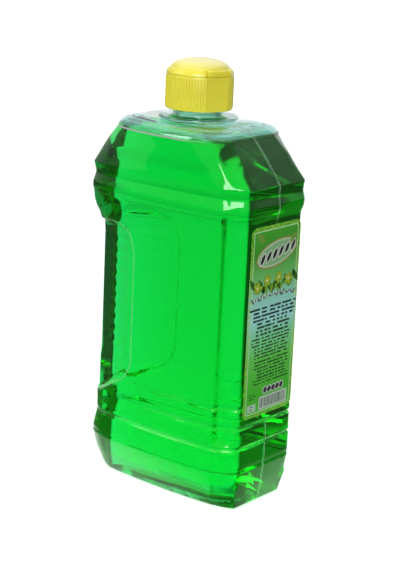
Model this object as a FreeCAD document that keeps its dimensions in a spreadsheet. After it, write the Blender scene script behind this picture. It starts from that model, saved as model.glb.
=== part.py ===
import FreeCAD, Part
import Sketcher
import os
from FreeCAD import Vector

# Flat-sided bottle of cologne with a screw-on flip-top cap, in millimetres.
# +Z is up and the origin is on the standing plane, under the neck's axis. X runs across the
# two wide faces, the label is on the narrow face at -Y and the hand grip at the +Y end.
# The bottle is blown in one piece, so its outside, its inside and the cologne are the same
# surface, moved inwards by nothing, by the wall, and by the wall and a small gap.

doc = FreeCAD.newDocument("cologne_bottle")
sheet = doc.addObject("Spreadsheet::Sheet", "sizes")

DRIVING_SIZES = [
    # plan of the body, from the neck's axis
    ("side_half", 29.0), ("side_bow", 1.9), ("label_reach", 50.5), ("grip_reach", 45.1),
    ("corner_width", 7.3), ("corner_depth", 11.3), ("corner_bulge", 0.5), ("side_taper", 3.0),
    ("side_end_back", 11.1), ("grip_corner_in", 7.5), ("grip_corner_back", 3.5),
    ("grip_end_in", 16.5), ("grip_side_bow", 0.4), ("grip_corner_bow", 0.9), ("grip_end_bow", 0.3),
    # steps up the body, each from the one before
    ("foot_height", 21.0), ("ring_height", 11.2), ("waist_step", 10.6), ("groove_pitch", 4.95),
    ("panel_height", 91.6), ("band_step", 5.13), ("shoulder_height", 20.9), ("crown_rise", 3.8),
    ("ring_lift", 0.8), ("ring_thick", 1.7), ("neck_height", 16.1),
    # foot, grooves, band and shoulder
    ("foot_inset", 7.3), ("foot_label_inset", 3.4), ("foot_grip_inset", 3.0), ("foot_grip_flare", 2.4),
    ("foot_ring_width", 6.0), ("push_up", 6.0), ("groove_width", 2.2), ("groove_depth", 0.7),
    ("soft_groove_depth", 0.25), ("band_rise", 1.4), ("band_grip_rise", 6.0), ("shoulder_label_in", 17.1),
    ("shoulder_flat_in", 13.0), ("shoulder_cut_in", 2.2), ("shoulder_cut_back", 21.9),
    ("shoulder_front_in", 31.8), ("shoulder_grip_in", 6.1), ("shoulder_back_in", 17.1),
    ("shoulder_taper", 6.0), ("shoulder_corner_in", 12.4), ("shoulder_corner_back", 3.1),
    ("shoulder_end_in", 19.8), ("crown_round", 2.2), ("crown_flat_in", 8.0),
    # step that sets the label's corners back from the wide faces
    ("notch_depth", 3.3), ("notch_slant", 1.6), ("notch_lead", 2.5),
    # hand grip, pressed in from each wide face
    ("grip_depth", 31.1), ("grip_step", 0.8), ("grip_slope", 0.371), ("grip_above_groove", 9.5),
    ("grip_below_band", 12.1), ("grip_end_back", 0.3), ("grip_edge_back", 1.8),
    ("grip_edge_in", 4.5), ("grip_edge_bow", 0.6), ("grip_top_round", 13.0),
    ("grip_top_bow", 3.4), ("grip_sweep_out", 17.0), ("grip_sweep_down", 15.0),
    ("grip_floor_rise", 8.6), ("grip_draft", 5.0),
    ("grip_rib_pitch", 5.7), ("grip_rib_depth", 0.8), ("grip_rib_half", 1.6),
    ("grip_rib_margin", 5.1), ("grip_rib_start", 4.0), ("grip_rib_run_in", 2.0),
    # wall, filling, neck and carrying ring
    ("wall", 0.5), ("fill_gap", 0.08), ("fill_drop", 0.6), ("neck_radius", 12.55),
    ("neck_wall", 1.65), ("root_radius", 15.6), ("ring_radius", 19.4), ("ring_round", 0.75),
    # label
    ("label_margin_side", 2.1), ("label_margin_top", 3.2), ("label_above_groove", 4.0),
    ("label_thick", 0.12), ("label_corner", 3.6),
    # screw cap
    ("thread_height", 1.2), ("thread_play", 0.25), ("cap_wall", 2.3), ("cap_clear", 3.1),
    ("deck_thick", 1.4), ("deck_drop", 1.0), ("rim_land", 1.6), ("spout_radius", 4.2),
    ("spout_rise", 2.0), ("orifice_radius", 2.2), ("cap_rib_count", 72), ("cap_rib_half", 0.4),
    ("cap_rib_height", 0.25), ("cap_rib_margin", 0.9), ("hinge_in", 1.3), ("hinge_turn", -16.6),
    ("thumb_half", 4.5), ("thumb_depth", 1.1), ("thumb_drop", 1.6),
    # flip lid
    ("lid_gap", 0.12), ("lid_side", 1.6), ("lid_shoulder_in", 2.1), ("lid_shoulder_rise", 4.3),
    ("lid_height", 7.8), ("lid_wall", 1.3), ("plug_play", 0.25), ("plug_reach", 1.3),
    ("slot_half", 0.6), ("slot_place", 6.1), ("slot_depth", 0.9),
    # how far cutting sketches reach past what they cut
    ("cut_reach", 9.0), ("cut_over", 2.0),
    # sealing disc
    ("seal_thick", 1.1), ("seal_in", 0.25), ("seal_hole", 3.2), ("seal_play", 0.05),
]

for row, (alias, value) in enumerate(DRIVING_SIZES, start=1):
    sheet.set(f"A{row}", alias)
    sheet.set(f"B{row}", str(value))
    sheet.setAlias(f"B{row}", alias)
doc.recompute()
size = {alias: float(sheet.get(alias)) for alias, _ in DRIVING_SIZES}


# ---- sums of sizes, as numbers and as bound expressions -------------------------------------

def amount(words):
    """Value of a sum such as 'cap_wall + lid_gap - 1'."""
    total = 0.0
    sign = 1
    for word in words.split():
        if word in "+-":
            sign = 1 if word == "+" else -1
        elif word[0].isdigit():
            total += sign * float(word)
        else:
            total += sign * size[word]
    return total


def bound(words):
    """The same sum as an expression on the sheet's cells."""
    plain = [word if word in "+-" or word[0].isdigit() else f"sizes.{word}" for word in words.split()]
    return " ".join(plain)


STACK = [
    "foot_height", "ring_height", "waist_step", "groove_pitch", "groove_pitch", "panel_height",
    "band_step", "band_step", "band_step", "shoulder_height", "crown_rise", "ring_lift",
    "ring_thick", "neck_height",
]
LEVEL_NAMES = [
    "ring_low", "ring_high", "groove_low", "groove_mid", "groove_high", "panel_top",
    "band_low", "band_groove", "band_high", "shoulder_edge", "crown", "ring_under",
    "ring_top", "neck_top",
]
LEVEL = {name: " + ".join(STACK[: i + 1]) for i, name in enumerate(LEVEL_NAMES)}
z_of = {name: amount(words) for name, words in LEVEL.items()}

FILL_LEVEL = z_of["shoulder_edge"] - size["fill_drop"]
GRIP_START = size["grip_reach"] - size["grip_depth"]
GRIP_LOW = z_of["groove_high"] + size["grip_above_groove"]
GRIP_TOP = z_of["panel_top"] - size["grip_below_band"]
GRIP_RIB_SPAN = GRIP_TOP - GRIP_LOW - 2 * size["grip_rib_margin"]
GRIP_RIB_COUNT = int(GRIP_RIB_SPAN / size["grip_rib_pitch"]) + 1
CORNER_Y = -(size["label_reach"] - size["corner_depth"])

# Where the notch's step would lie on a plain corner, as a share of the way to the label.
STEP_SHARE = 0.15
# Share of the foot's height, and the share of the foot's insets that is left there.
FOOT_PROFILE = [(0.0, 1.0), (0.1, 0.8), (0.52, 0.3)]
# Height in band steps above the panel, share of the band's rise, share of its rise at the grip.
BAND_PROFILE = [(0.5, 0.75, 1), (1, 1, 0.97), (2, 0.15, 0.82), (3, 0.5, 1)]
# Share of the way down from the panel's top to the hand grip's, and of the band's grip rise.
CHIN_PROFILE = [(1.5, 0), (0.88, 0.25), (0.6, 0.65), (0.28, 0.95), (0, 1)]
# Share of the shoulder's height, and of the way from the band's plan to the shoulder's edge.
KNEE = (0.55, 0.5)
CROWN_BEND = 0.55


# ---- plan outlines: closed polygons whose edges may bulge into arcs -------------------------

def moved_out(points, distance):
    """Closed polygon, anticlockwise, with every edge moved outwards by distance."""
    moved = []
    for i, here in enumerate(points):
        before = points[i - 1]
        after = points[(i + 1) % len(points)]
        turn_in = (here - before).normalize()
        turn_out = (after - here).normalize()
        normal_in = Vector(turn_in.y, -turn_in.x, 0)
        normal_out = Vector(turn_out.y, -turn_out.x, 0)
        share = 1 + normal_in.dot(normal_out)
        moved.append(here + (normal_in + normal_out) * (distance / share))
    return moved


def closed_wire(points, bulges, place):
    """Wire through the polygon's corners; a bulge is how far an edge bows outwards."""
    edges = []
    for i, start in enumerate(points):
        end = points[(i + 1) % len(points)]
        if bulges[i] == 0:
            edges.append(Part.LineSegment(place(start), place(end)).toShape())
            continue
        along = (end - start).normalize()
        middle = (start + end) * 0.5 + Vector(along.y, -along.x, 0) * bulges[i]
        edges.append(Part.Arc(place(start), place(middle), place(end)).toShape())
    return Part.Wire(edges)


def level_wire(points, bulges, level):
    return closed_wire(points, bulges, lambda p: Vector(p.x, p.y, level))


def mirrored(half):
    """Whole anticlockwise outline from its +X half, which runs from the label to the grip."""
    return half + [Vector(-p.x, p.y, 0) for p in reversed(half)]


def body_outline(moves, notch):
    """Corners of the body's plan, moved out at the side, the label, the grip's side and its end.

    notch is how much of the step beside the label is there: 0 is a plain corner, 1 all of it.
    """
    side, label, grip_side, grip = moves
    half_width = size["side_half"]
    label_y = -(size["label_reach"] + label)
    grip_y = size["grip_reach"] + grip
    end_y = size["grip_reach"] + grip / 2
    label_corner = Vector(half_width - size["corner_width"] + side / 2, label_y, 0)
    side_corner = Vector(half_width + side, CORNER_Y - label, 0)
    plain = side_corner * (1 - STEP_SHARE) + label_corner * STEP_SHARE
    stepped = side_corner - Vector(size["notch_depth"], size["notch_slant"], 0)
    half = [
        label_corner,
        plain * (1 - notch) + stepped * notch,
        side_corner,
        Vector(half_width - size["side_taper"] + grip_side, end_y - size["side_end_back"], 0),
        Vector(half_width - size["grip_corner_in"] + grip_side, grip_y - size["grip_corner_back"], 0),
        Vector(half_width - size["grip_end_in"] + grip_side, grip_y, 0),
    ]
    return mirrored(half)


def shoulder_outline(share):
    """Plan between the band's top (share 0) and the shoulder's edge (share 1)."""
    half_width = size["side_half"]
    grip_y = size["grip_reach"] - size["shoulder_grip_in"]
    label_y = -size["label_reach"]
    half = [
        Vector(half_width - size["shoulder_flat_in"], label_y + size["shoulder_label_in"], 0),
        Vector(half_width - size["shoulder_cut_in"], label_y + size["shoulder_cut_back"], 0),
        Vector(half_width, label_y + size["shoulder_front_in"], 0),
        Vector(half_width - size["shoulder_taper"], size["grip_reach"] - size["shoulder_back_in"], 0),
        Vector(half_width - size["shoulder_corner_in"], grip_y - size["shoulder_corner_back"], 0),
        Vector(half_width - size["shoulder_end_in"], grip_y, 0),
    ]
    rise = size["band_rise"] / 2
    low = body_outline((rise, rise, rise, size["band_grip_rise"]), 0)
    return [a * (1 - share) + b * share for a, b in zip(low, mirrored(half))]


def side_bulges(corner):
    """Bows of the outline's twelve edges, in the order of its corners."""
    half = [corner, 0, size["side_bow"], size["grip_side_bow"], size["grip_corner_bow"]]
    return half + [size["grip_end_bow"]] + half[::-1] + [0]


# ---- the blown surface ----------------------------------------------------------------------

def groove_levels(height, depth, notch, grip_depth=0, flare=0):
    """Three levels that pinch a V-shaped groove round the body, and round the grip if asked."""
    half = size["groove_width"] / 2
    plain = (0, 0, 0, flare)
    pinched = (-depth, -depth, -grip_depth, flare - grip_depth)
    return [(height - half, plain, notch), (height, pinched, notch), (height + half, plain, notch)]


def body_levels():
    """Height, outward moves and notch of each level, from the foot up to the band."""
    depth = size["groove_depth"]
    soft = size["soft_groove_depth"]
    flare = size["foot_grip_flare"]
    levels = []
    for height, left in FOOT_PROFILE:
        side = -left * size["foot_inset"]
        grip = flare - left * size["foot_grip_inset"]
        moves = (side, -left * size["foot_label_inset"], side, grip)
        levels.append((height * size["foot_height"], moves, 0))
    levels += groove_levels(z_of["ring_low"], soft, 0, soft, flare)
    levels += groove_levels(z_of["ring_high"], depth, 0, depth)
    notch_foot = z_of["ring_high"] + size["groove_width"] / 2 + size["notch_lead"]
    levels.append((notch_foot, (0, 0, 0, 0), 1))
    levels += groove_levels(z_of["groove_low"], depth, 1)
    levels += groove_levels(z_of["groove_mid"], soft, 1)
    levels += groove_levels(z_of["groove_high"], depth, 1)
    for down, share in CHIN_PROFILE:
        height = z_of["panel_top"] - down * size["grip_below_band"]
        levels.append((height, (0, 0, 0, share * size["band_grip_rise"]), 1))
    for steps, share, grip_share in BAND_PROFILE:
        rise = share * size["band_rise"]
        height = z_of["panel_top"] + steps * size["band_step"]
        levels.append((height, (rise, rise, rise, grip_share * size["band_grip_rise"]), 0))
    return levels


def body_block(inset):
    """Solid inside the blown body's surface, moved in by inset, with no grip or push-up."""
    wires = []
    bulges = side_bulges(size["corner_bulge"])
    for height, moves, notch in body_levels():
        points = moved_out(body_outline(moves, notch), -inset)
        wires.append(level_wire(points, bulges, max(height, inset)))
    knee_height, knee_share = KNEE
    knee = z_of["band_high"] + knee_height * size["shoulder_height"]
    edge = z_of["shoulder_edge"] - inset
    crown = z_of["crown"] - inset
    bend = edge + CROWN_BEND * (crown - edge)
    shoulder = [
        (knee, knee_share, 0), (edge, 1, 0), (bend, 1, size["crown_round"]),
        (crown, 1, size["crown_flat_in"]),
    ]
    for level, share, shrink in shoulder:
        points = moved_out(shoulder_outline(share), -(inset + shrink))
        wires.append(level_wire(points, bulges, level))
    return Part.makeLoft(wires, True, True)


def push_up_block(inset):
    """Long dome pushed up into the base, grown by inset, leaving a ring to stand on."""
    ring = size["foot_ring_width"]
    half_wide = size["side_half"] - size["foot_inset"] - ring + inset
    front = size["label_reach"] - size["foot_label_inset"] - ring + inset
    back = size["grip_reach"] + size["foot_grip_flare"] - size["foot_grip_inset"] - ring + inset
    stretch = FreeCAD.Matrix()
    stretch.scale(half_wide, (front + back) / 2, size["push_up"] + inset)
    stretch.move(Vector(0, (back - front) / 2, 0))
    return Part.makeSphere(1.0).transformGeometry(stretch)


def grip_section(inset, depth):
    """Plan of the hand grip: slanted sides and a rounded end, ribbed in by depth."""
    far = 2 * size["side_half"]
    start_x = size["side_half"] + size["side_bow"] / 2 - size["grip_step"]
    rib_y = GRIP_START + size["grip_rib_start"]
    end_y = size["grip_reach"] - size["grip_end_back"]

    def slanted(y, deep):
        return Vector(start_x - size["grip_slope"] * (y - GRIP_START) - deep, y, 0)

    corner = slanted(end_y - size["grip_edge_back"], depth)
    half = [
        Vector(far, -2 * size["label_reach"], 0), Vector(far, GRIP_START, 0),
        Vector(start_x, GRIP_START, 0), slanted(rib_y, 0),
        slanted(rib_y + size["grip_rib_run_in"], depth), corner,
        Vector(corner.x - size["grip_edge_in"], end_y - depth, 0),
    ]
    points = moved_out(mirrored(half), -inset)
    edge_bow = size["grip_edge_bow"]
    bulges = [0, 0, 0, 0, 0, edge_bow, edge_bow / 2, edge_bow, 0, 0, 0, 0, 0, 0]
    return points, bulges


def grip_core(inset):
    """Everything that stays inside the ribbed grip, as one tall block."""
    heights = [(z_of["ring_low"], 0)]
    half = size["grip_rib_half"]
    for number in range(GRIP_RIB_COUNT):
        middle = GRIP_LOW + size["grip_rib_margin"] + number * size["grip_rib_pitch"]
        heights += [(middle - half, 0), (middle, size["grip_rib_depth"]), (middle + half, 0)]
    heights.append((z_of["band_groove"], 0))
    wires = []
    for level, depth in heights:
        points, bulges = grip_section(inset, depth)
        wires.append(level_wire(points, bulges, level))
    return Part.makeLoft(wires, True, True)


def grip_window(inset, side):
    """Tapering window that the grip is pressed in through, seen from one wide face."""
    far = size["grip_reach"] + size["grip_top_round"]
    floor = z_of["ring_high"] + size["grip_floor_rise"]
    sweep_y = GRIP_START + size["grip_sweep_out"]
    shape = [
        Vector(GRIP_START, GRIP_LOW, 0),
        Vector(GRIP_START + size["grip_sweep_out"] / 4, GRIP_LOW - size["grip_sweep_down"] / 2, 0),
        Vector(sweep_y, GRIP_LOW - size["grip_sweep_down"], 0),
        Vector(size["grip_reach"] - size["grip_edge_in"], floor, 0),
        Vector(far, floor, 0), Vector(far, GRIP_TOP, 0),
        Vector(GRIP_START + size["grip_top_round"], GRIP_TOP, 0),
        Vector(GRIP_START, GRIP_TOP - size["grip_top_round"], 0),
    ]
    bulges = [0, 0, 0, 0, 0, 0, size["grip_top_bow"], 0]
    outer = size["side_half"] + size["side_bow"]
    wires = []
    for across, shrink in [(0, size["grip_draft"]), (outer, 0), (2 * outer, -size["grip_draft"])]:
        points = moved_out(shape, inset - shrink)
        wires.append(closed_wire(points, bulges, lambda p, x=side * across: Vector(x, p.x, p.y)))
    return Part.makeLoft(wires, True, True)


def blown_block(inset):
    """Solid inside the finished blown surface moved in by inset, below the neck."""
    block = body_block(inset).cut(push_up_block(inset))
    core = grip_core(inset)
    for side in (-1, 1):
        block = block.cut(grip_window(inset, side).cut(core))
    return block


def turned(radius, low, high):
    return Part.makeCylinder(radius, high - low, Vector(0, 0, low))


def free_piece(label, shape):
    """Document object for a blown or poured shape."""
    piece = doc.addObject("Part::Feature", label)
    piece.Shape = shape
    piece.Placement = FreeCAD.Placement()
    piece.Label = label
    return piece


def build_bottle():
    """Bottle: body, neck root, carrying ring and neck, hollow right through."""
    root = turned(size["root_radius"], z_of["shoulder_edge"], z_of["ring_under"])
    ring = turned(size["ring_radius"], z_of["ring_under"], z_of["ring_top"])
    ring = ring.makeFillet(size["ring_round"], ring.Edges)
    neck = turned(size["neck_radius"], z_of["ring_under"], z_of["neck_top"])
    outside = blown_block(0).fuse([root, ring, neck]).removeSplitter()
    bore_radius = size["neck_radius"] - size["neck_wall"]
    bore = turned(bore_radius, FILL_LEVEL, z_of["neck_top"])
    inside = blown_block(size["wall"]).fuse(bore)
    return free_piece("bottle", outside.cut(inside))


def build_cologne():
    """The liquid: the inside of the wall less a small gap, up to the fill level."""
    liquid = blown_block(size["wall"] + size["fill_gap"])
    reach = 2 * size["label_reach"]
    air = Part.makeBox(2 * reach, 2 * reach, reach, Vector(-reach, -reach, FILL_LEVEL))
    return free_piece("cologne", liquid.cut(air))


# ---- moulded and die-cut pieces, as bodies bound to the sheet -------------------------------

def new_body(label, height):
    """Body whose own origin sits at a height that follows the stack of sizes."""
    body = doc.addObject("PartDesign::Body", label)
    body.Label = label
    body.setExpression("Placement.Base.z", bound(height))
    return body


def origin_part(body, role):
    return [part for part in body.Origin.OriginFeatures if part.Role == role][0]


def bound_sketch(body, name, plane, points, arc_edges=(), lift=None):
    """Closed sketch whose every corner is bound to the sheet.

    points are pairs of sums of sizes; an edge in arc_edges is an arc centred on the upright axis.
    """
    sketch = body.newObject("Sketcher::SketchObject", name)
    sketch.AttachmentSupport = (origin_part(body, plane), [""])
    sketch.MapMode = "FlatFace"
    if lift:
        sketch.setExpression("AttachmentOffset.Base.z", bound(lift))
    corners = [Vector(amount(x), amount(y), 0) for x, y in points]
    count = len(corners)
    for i, start in enumerate(corners):
        end = corners[(i + 1) % count]
        if i in arc_edges:
            centre_y = (start.x ** 2 + start.y ** 2 - end.x ** 2 - end.y ** 2) / (2 * (start.y - end.y))
            centre = Vector(0, centre_y, 0)
            radius = (start - centre).Length
            circle = Part.Circle(centre, Vector(0, 0, 1), radius)
            sketch.addGeometry(Part.ArcOfCircle(circle, circle.parameter(start), circle.parameter(end)))
            sketch.addConstraint(Sketcher.Constraint("PointOnObject", i, 3, -2))
        else:
            sketch.addGeometry(Part.LineSegment(start, end))
    for i in range(count):
        sketch.addConstraint(Sketcher.Constraint("Coincident", i, 2, (i + 1) % count, 1))
    for i, (x, y) in enumerate(points):
        if amount(x) == 0:
            sketch.addConstraint(Sketcher.Constraint("PointOnObject", i, 1, -2))
        else:
            number = sketch.addConstraint(Sketcher.Constraint("DistanceX", -1, 1, i, 1, amount(x)))
            sketch.setExpression(f"Constraints[{number}]", bound(x))
        if amount(y) == 0:
            sketch.addConstraint(Sketcher.Constraint("PointOnObject", i, 1, -1))
        else:
            number = sketch.addConstraint(Sketcher.Constraint("DistanceY", -1, 1, i, 1, amount(y)))
            sketch.setExpression(f"Constraints[{number}]", bound(y))
    return sketch


def spun(body, sketch):
    """Full turn of a sketch about the upright axis."""
    turn = body.newObject("PartDesign::Revolution", sketch.Name + "_turn")
    turn.Profile = sketch
    turn.ReferenceAxis = (sketch, ["V_Axis"])
    turn.Angle = 360
    doc.recompute()
    return turn


def cut_along_z(body, sketch, length, upwards):
    """Pocket from a level sketch; the volume shows that it has cut something."""
    before = body.Shape.Volume
    pocket = body.newObject("PartDesign::Pocket", sketch.Name + "_cut")
    pocket.Profile = sketch
    pocket.setExpression("Length", bound(length))
    pocket.Reversed = upwards
    doc.recompute()
    if not body.Shape.Volume < before:
        raise RuntimeError(f"{pocket.Name} cuts nothing")
    return pocket


BORE = "neck_radius + thread_height + thread_play"
CAP_OUT = BORE + " + cap_wall"
HINGE_Y = "0 - neck_radius - thread_height - thread_play - cap_wall + hinge_in"
DECK_UNDER = "seal_play + seal_play + seal_thick"
DECK_TOP = DECK_UNDER + " + deck_thick"
PARTING = DECK_TOP + " + deck_drop"
SKIRT_FOOT = "0 - neck_height + cap_clear"
FAR_Y = HINGE_Y + " - cut_reach"


def turn_to_hinge(body):
    """Turns a cap piece so that its hinge lies where the cap tightens to."""
    body.Placement.Rotation = FreeCAD.Rotation(Vector(0, 0, 1), size["hinge_turn"])
    body.setExpression("Placement.Rotation.Angle", "sizes.hinge_turn * 1 deg")


def build_cap_base():
    """Screw cap: ribbed skirt, sunk deck, spout and orifice, hinge flat and thumb recess."""
    body = new_body("cap_base", LEVEL["neck_top"])
    section = bound_sketch(body, "cap_section", "XZ_Plane", [
        (BORE, SKIRT_FOOT), (CAP_OUT, SKIRT_FOOT), (CAP_OUT, PARTING),
        (CAP_OUT + " - rim_land", PARTING), (CAP_OUT + " - rim_land", DECK_TOP),
        ("spout_radius", DECK_TOP), ("spout_radius", DECK_TOP + " + spout_rise"),
        ("orifice_radius", DECK_TOP + " + spout_rise"), ("orifice_radius", DECK_UNDER),
        (BORE, DECK_UNDER),
    ])
    spun(body, section)
    rib = bound_sketch(body, "rib_plan", "XY_Plane", [
        ("0 - cap_rib_half", CAP_OUT + " - cap_rib_height"),
        ("cap_rib_half", CAP_OUT + " - cap_rib_height"),
        ("cap_rib_height", CAP_OUT + " + cap_rib_height"),
        ("0 - cap_rib_height", CAP_OUT + " + cap_rib_height"),
    ], lift=SKIRT_FOOT + " + cap_rib_margin")
    pad = body.newObject("PartDesign::Pad", "rib")
    pad.Profile = rib
    length = PARTING + " + neck_height - cap_clear - cap_rib_margin - cap_rib_margin"
    pad.setExpression("Length", bound(length))
    doc.recompute()
    ribs = body.newObject("PartDesign::PolarPattern", "ribs")
    ribs.Originals = [pad]
    ribs.Axis = (origin_part(body, "Z_Axis"), [""])
    ribs.Angle = 360
    ribs.setExpression("Occurrences", "sizes.cap_rib_count")
    body.Tip = ribs
    doc.recompute()
    flat = bound_sketch(body, "hinge_flat_plan", "XY_Plane", [
        ("0 - " + CAP_OUT.replace("+", "-"), FAR_Y), (CAP_OUT, FAR_Y), (CAP_OUT, HINGE_Y),
        ("0 - " + CAP_OUT.replace("+", "-"), HINGE_Y),
    ])
    cut_along_z(body, flat, PARTING + " + cut_over", upwards=True)
    thumb = bound_sketch(body, "thumb_plan", "XY_Plane", [
        ("0 - thumb_half", CAP_OUT + " - thumb_depth"), ("thumb_half", CAP_OUT + " - thumb_depth"),
        ("thumb_half", CAP_OUT + " + cut_over"), ("0 - thumb_half", CAP_OUT + " + cut_over"),
    ], lift=PARTING + " - thumb_drop")
    cut_along_z(body, thumb, "thumb_drop + cut_over", upwards=True)
    turn_to_hinge(body)
    return body


def build_flip_lid():
    """Flip lid: domed top, plug for the orifice, flat hinge wall with a slot at each end."""
    body = new_body("flip_lid", LEVEL["neck_top"])
    foot = PARTING + " + lid_gap"
    spout_top = DECK_TOP + " + spout_rise"
    ceiling_edge = PARTING + " + lid_shoulder_rise - lid_wall"
    section = bound_sketch(body, "lid_section", "XZ_Plane", [
        ("0", spout_top + " - plug_reach"), ("orifice_radius - plug_play", spout_top + " - plug_reach"),
        ("orifice_radius - plug_play", PARTING + " + lid_height - lid_wall"),
        (CAP_OUT + " - hinge_in - lid_wall - lid_shoulder_in", ceiling_edge),
        (CAP_OUT + " - hinge_in - lid_wall", foot + " + lid_side"),
        (CAP_OUT + " - hinge_in - lid_wall", foot), (CAP_OUT, foot), (CAP_OUT, foot + " + lid_side"),
        (CAP_OUT + " - lid_shoulder_in", PARTING + " + lid_shoulder_rise"),
        ("0", PARTING + " + lid_height"),
    ], arc_edges=(8,))
    spun(body, section)
    flat = bound_sketch(body, "lid_flat_plan", "XY_Plane", [
        ("0 - " + CAP_OUT.replace("+", "-"), FAR_Y), (CAP_OUT, FAR_Y), (CAP_OUT, HINGE_Y),
        ("0 - " + CAP_OUT.replace("+", "-"), HINGE_Y),
    ])
    cut_along_z(body, flat, PARTING + " + lid_height", upwards=True)
    for side in (-1, 1):
        near = "slot_place - slot_half" if side > 0 else "0 - slot_place - slot_half"
        far = "slot_place + slot_half" if side > 0 else "0 - slot_place + slot_half"
        slot = bound_sketch(body, f"slot_plan_{(side + 3) // 2}", "XY_Plane", [
            (near, FAR_Y), (far, FAR_Y), (far, HINGE_Y + " + slot_depth"),
            (near, HINGE_Y + " + slot_depth"),
        ])
        cut_along_z(body, slot, PARTING + " + lid_shoulder_rise", upwards=True)
    turn_to_hinge(body)
    return body


def build_sealing_disc():
    """Soft ring pinched between the neck's rim and the cap's deck."""
    body = new_body("sealing_disc", LEVEL["neck_top"])
    section = bound_sketch(body, "seal_section", "XZ_Plane", [
        ("seal_hole", "seal_play"), ("neck_radius - seal_in", "seal_play"),
        ("neck_radius - seal_in", "seal_play + seal_thick"), ("seal_hole", "seal_play + seal_thick"),
    ])
    spun(body, section)
    return body


def build_front_label():
    """Self-adhesive label with round corners, flat on the narrow face."""
    body = new_body("front_label", LEVEL["groove_low"] + " + label_above_groove")
    half = "side_half - corner_width - label_margin_side"
    half_back = "0 - side_half + corner_width + label_margin_side"
    top = "groove_pitch + groove_pitch + panel_height - label_above_groove - label_margin_top"
    plan = bound_sketch(body, "label_plan", "XZ_Plane", [
        (half_back, "0"), (half, "0"), (half, top), (half_back, top),
    ])
    sheet_pad = body.newObject("PartDesign::Pad", "label_sheet")
    sheet_pad.Profile = plan
    sheet_pad.setExpression("Length", "sizes.label_thick")
    doc.recompute()
    upright = [f"Edge{i + 1}" for i, edge in enumerate(sheet_pad.Shape.Edges)
               if abs(edge.Length - size["label_thick"]) < 1e-6]
    corners = body.newObject("PartDesign::Fillet", "label_corners")
    corners.Base = (sheet_pad, upright)
    corners.setExpression("Radius", "sizes.label_corner")
    body.setExpression("Placement.Base.y", "-sizes.label_reach")
    return body


build_bottle()
build_cologne()
build_front_label()
build_sealing_disc()
build_cap_base()
build_flip_lid()
doc.recompute()

SUB_PARTS = ["bottle", "cologne", "front_label", "sealing_disc", "cap_base", "flip_lid"]
for item in doc.Objects:
    failed = {"Invalid", "Error"} & set(item.State)
    if failed:
        raise RuntimeError(f"{item.Label} is {failed}")
for label in SUB_PARTS:
    shape = doc.getObject(label).Shape
    if shape.isNull() or not shape.isValid() or len(shape.Solids) != 1:
        raise RuntimeError(f"{label} has no single valid solid")

os.makedirs("parts", exist_ok=True)
for label in SUB_PARTS:
    doc.getObject(label).Shape.exportStep(f"parts/{label}.step")
    print(label, round(doc.getObject(label).Shape.Volume, 1))
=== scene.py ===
import math

import bmesh
import bpy
import numpy as np
from mathutils import Matrix, Vector
from mathutils.bvhtree import BVHTree


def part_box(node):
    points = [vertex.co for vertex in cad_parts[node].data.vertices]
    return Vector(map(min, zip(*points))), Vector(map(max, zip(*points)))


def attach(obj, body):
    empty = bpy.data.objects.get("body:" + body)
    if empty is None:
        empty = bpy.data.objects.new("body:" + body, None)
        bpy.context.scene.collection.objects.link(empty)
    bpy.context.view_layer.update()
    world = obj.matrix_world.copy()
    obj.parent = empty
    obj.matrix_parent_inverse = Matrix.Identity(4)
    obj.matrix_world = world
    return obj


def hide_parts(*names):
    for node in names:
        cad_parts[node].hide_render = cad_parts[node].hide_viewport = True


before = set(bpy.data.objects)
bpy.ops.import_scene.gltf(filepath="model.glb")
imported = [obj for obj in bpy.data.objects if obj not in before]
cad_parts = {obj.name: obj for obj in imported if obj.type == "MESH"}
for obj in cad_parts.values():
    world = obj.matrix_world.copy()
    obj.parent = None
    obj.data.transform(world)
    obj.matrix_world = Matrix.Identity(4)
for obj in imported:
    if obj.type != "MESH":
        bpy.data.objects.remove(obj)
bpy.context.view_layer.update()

MM = 0.001
UP = Vector((0, 0, 1))
ARC_SHARE = 0.45  # how much of each straight run an arc at its end may take
SHARP_DEGREES = 38  # edges of moulded pieces steeper than this stay crisp


# -------- small tools

def linear(code, alpha=1.0):
    """An sRGB hex colour as the linear colour that shaders take."""
    shares = [int(code[i:i + 2], 16) / 255 for i in (0, 2, 4)]
    return (*[s / 12.92 if s <= 0.04045 else ((s + 0.055) / 1.055) ** 2.4 for s in shares], alpha)


def add_node(tree, kind, sockets=None, **settings):
    """Adds a node with its settings, and sets or links its inputs."""
    made = tree.nodes.new(kind)
    for name, value in settings.items():
        setattr(made, name, value)
    for key, value in (sockets or {}).items():
        if isinstance(value, bpy.types.NodeSocket):
            tree.links.new(value, made.inputs[key])
        else:
            made.inputs[key].default_value = value
    return made


def out(tree, kind, sockets=None, **settings):
    """The first output of a new node."""
    return add_node(tree, kind, sockets, **settings).outputs[0]


def maths(tree, operation, *values):
    """One step of arithmetic on node values."""
    return out(tree, "ShaderNodeMath", dict(enumerate(values)), operation=operation)


def times(tree, first, second):
    """The product of two node values."""
    return maths(tree, "MULTIPLY", first, second)


def vectors(tree, operation, *values):
    """One step of vector arithmetic; lengths and products come out as a single value."""
    made = add_node(tree, "ShaderNodeVectorMath", dict(enumerate(values)), operation=operation)
    single = operation in ("LENGTH", "DISTANCE", "DOT_PRODUCT")
    return made.outputs["Value" if single else "Vector"]


def parts_of(tree, vector):
    """The X, Y and Z outputs of a vector."""
    return add_node(tree, "ShaderNodeSeparateXYZ", {0: vector}).outputs


def joined(tree, **parts):
    """A vector of the given X, Y and Z."""
    return out(tree, "ShaderNodeCombineXYZ", parts)


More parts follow.
